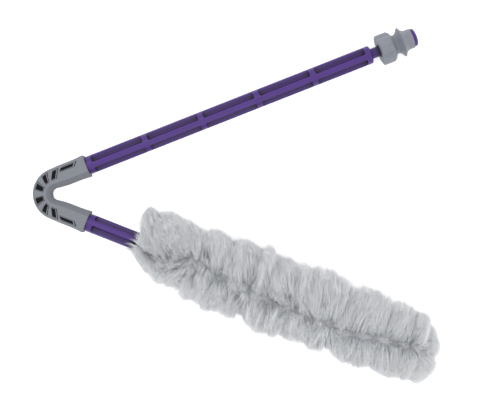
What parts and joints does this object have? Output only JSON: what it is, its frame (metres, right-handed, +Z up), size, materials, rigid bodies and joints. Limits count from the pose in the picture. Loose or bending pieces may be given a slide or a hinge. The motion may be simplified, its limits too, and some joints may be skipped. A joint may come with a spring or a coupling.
{
  "type": "folding wheel brush",
  "caption": "Long-pile cleaning brush on a ribbed two-arm wand with a bendable elbow and a turning pole coupling; the pile cover slips off.",
  "frame": {"origin": "on the surface that the brush lies on, under the middle of its footprint", "axes": "+X along the bisector of the V, from the elbow towards its open side; +Y towards the handle arm; +Z up from the surface"},
  "size_m": [0.4078, 0.3557, 0.0758],
  "materials": {
    "bar_plastic": "satin moulded polypropylene",
    "coupling_plastic": "matte moulded nylon",
    "sleeve_rubber": "matte moulded rubber",
    "black_rubber": "matte",
    "washer_rubber": "matte",
    "nylon": "matte glass-filled nylon",
    "steel": "satin",
    "elastic": "woven elastic band",
    "knit_fabric": "knitted backing",
    "pile_fibre": "long fine microfibre pile"
  },
  "bodies": {
    "handle_arm": {"handle_bar": "bar_plastic", "neck_seal": "black_rubber", "thrust_washer": "nylon", "retaining_washer": "steel", "retaining_screw": "steel", "elbow_sleeve": "sleeve_rubber", "elbow_pin_1": "steel"},
    "coupling": {"coupling_body": "coupling_plastic", "coupling_bush": "nylon", "end_cap": "bar_plastic"},
    "elbow_link_1": {"elbow_link_1": "nylon", "elbow_pin_2": "steel", "friction_washers_1": "washer_rubber"},
    "elbow_link_2": {"elbow_link_2": "nylon", "elbow_pin_3": "steel", "friction_washers_2": "washer_rubber"},
    "elbow_link_3": {"elbow_link_3": "nylon", "elbow_pin_4": "steel", "friction_washers_3": "washer_rubber"},
    "brush_arm": {"brush_bar": "bar_plastic", "tip_bumper": "black_rubber", "friction_washers_4": "washer_rubber"},
    "cover": {"cover_cuff": "elastic", "cover_backing": "knit_fabric", "cover_tip": "knit_fabric", "pile": "pile_fibre"}
  },
  "joints": [
    {"name": "elbow_bend_1", "type": "hinge", "parent": "handle_arm", "child": "elbow_link_1", "pos_m": [-0.18748, 0.02401, 0.03528], "axis": [-0.029, -0.0736, -0.9969], "range_deg": [0, 34.25], "deforming": ["elbow_sleeve"]},
    {"name": "elbow_bend_2", "type": "hinge", "parent": "elbow_link_1", "child": "elbow_link_2", "pos_m": [-0.19302, 0.01589, 0.03604], "axis": [-0.029, -0.0736, -0.9969], "range_deg": [0, 34.25], "deforming": ["elbow_sleeve"]},
    {"name": "elbow_bend_3", "type": "hinge", "parent": "elbow_link_2", "child": "elbow_link_3", "pos_m": [-0.19301, 0.00605, 0.03676], "axis": [-0.029, -0.0736, -0.9969], "range_deg": [0, 34.25], "deforming": ["elbow_sleeve"]},
    {"name": "elbow_bend_4", "type": "hinge", "parent": "elbow_link_3", "child": "brush_arm", "pos_m": [-0.18745, -0.00208, 0.0372], "axis": [-0.029, -0.0736, -0.9969], "range_deg": [0, 34.25], "deforming": ["elbow_sleeve"]},
    {"name": "cover_slide", "type": "slide", "parent": "brush_arm", "child": "cover", "axis": [0.9304, -0.3665, 0], "range_m": [0, 0.32]},
    {"name": "coupling_twist", "type": "hinge", "parent": "handle_arm", "child": "coupling", "pos_m": [0.14201, 0.1532, 0.01617], "axis": [0.9296, 0.3645, -0.0539], "range_deg": [0, 90]}
  ]
}
